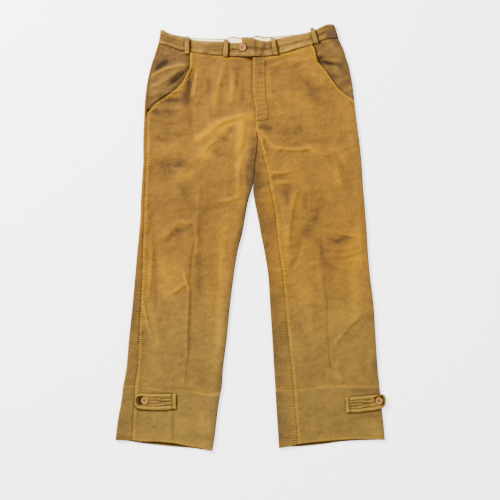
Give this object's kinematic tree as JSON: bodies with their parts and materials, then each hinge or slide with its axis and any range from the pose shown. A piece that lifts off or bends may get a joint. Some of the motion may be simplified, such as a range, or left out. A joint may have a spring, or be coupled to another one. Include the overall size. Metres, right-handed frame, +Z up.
{
  "type": "hunting trousers",
  "caption": "Hunting trousers of brushed cotton laid flat, front up: curved front pockets, fly, belt loops and hem bands with buttoned ankle tabs.",
  "frame": {"origin": "centre of the bounding box's underside, on the surface that the trousers lie on", "axes": "+Z up out of the front of the trousers, +Y from the hems to the waistband, +X towards the wearer's left leg"},
  "size_m": [0.6494, 1.0239, 0.0135],
  "materials": {
    "moleskin": "matt brushed nap",
    "moleskin_brown": "matt brushed nap",
    "moleskin_olive": "matt brushed nap",
    "cream_cotton": "plain woven cotton",
    "button_tan": "turned, softly polished",
    "patch_brown": "matt"
  },
  "bodies": {
    "root": {"leg_front_right": "moleskin", "leg_front_left": "moleskin", "leg_back_right": "moleskin", "leg_back_left": "moleskin", "fly_placket": "moleskin", "waistband_right": "moleskin", "waistband_left": "moleskin", "belt_loop_1": "moleskin", "belt_loop_2": "moleskin", "belt_loop_3": "moleskin", "belt_loop_4": "moleskin", "pocket_bearer_right": "moleskin_brown", "pocket_bearer_left": "moleskin_brown", "hem_band_front_right": "moleskin_olive", "hem_band_back_right": "moleskin_olive", "hem_band_front_left": "moleskin_olive", "hem_band_back_left": "moleskin_olive", "ankle_tab_right": "moleskin_olive", "ankle_tab_left": "moleskin_olive", "waistband_lining_right": "cream_cotton", "waistband_lining_left": "cream_cotton", "waist_button": "button_tan", "ankle_button_right": "button_tan", "ankle_button_left": "button_tan", "side_patch": "patch_brown"}
  },
  "joints": []
}
